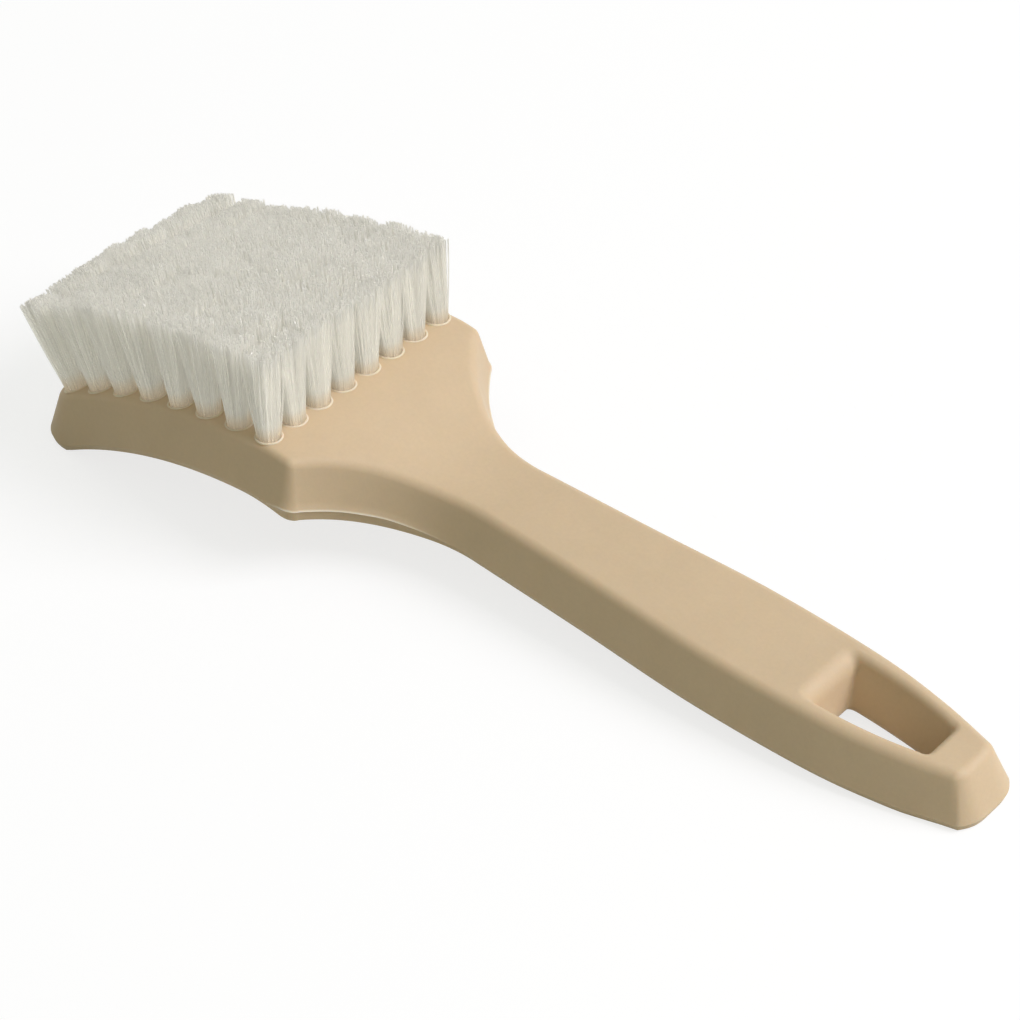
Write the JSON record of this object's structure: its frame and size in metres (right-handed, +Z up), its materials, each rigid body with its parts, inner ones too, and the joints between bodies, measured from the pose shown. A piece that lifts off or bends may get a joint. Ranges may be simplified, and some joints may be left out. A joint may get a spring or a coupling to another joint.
{
  "type": "tire brush",
  "caption": "Hand scrub brush for tires: one-piece moulded plastic handle block with an arched head, a hanging hole and staple-set nylon tufts.",
  "frame": {"origin": "on the surface that the brush lies on, under the middle of its bounding box", "axes": "+X along the brush to the hanging end of the handle, +Y across the head, +Z up, the way the bristles point"},
  "size_m": [0.2538, 0.073, 0.053],
  "materials": {
    "moulded_plastic": "tan foamed polypropylene, satin matte, faintly mottled",
    "nylon_bristle": "off-white translucent nylon filament, cut tips",
    "anchor_wire": "drawn flat wire"
  },
  "bodies": {
    "root": {"handle_block": "moulded_plastic", "bristles_rows_1_2": "nylon_bristle", "bristles_rows_3_4": "nylon_bristle", "bristles_rows_5_6": "nylon_bristle", "bristles_rows_7_8": "nylon_bristle", "anchors_row_1": "anchor_wire", "anchors_row_2": "anchor_wire", "anchors_row_3": "anchor_wire", "anchors_row_4": "anchor_wire", "anchors_row_5": "anchor_wire", "anchors_row_6": "anchor_wire", "anchors_row_7": "anchor_wire", "anchors_row_8": "anchor_wire"}
  },
  "joints": []
}
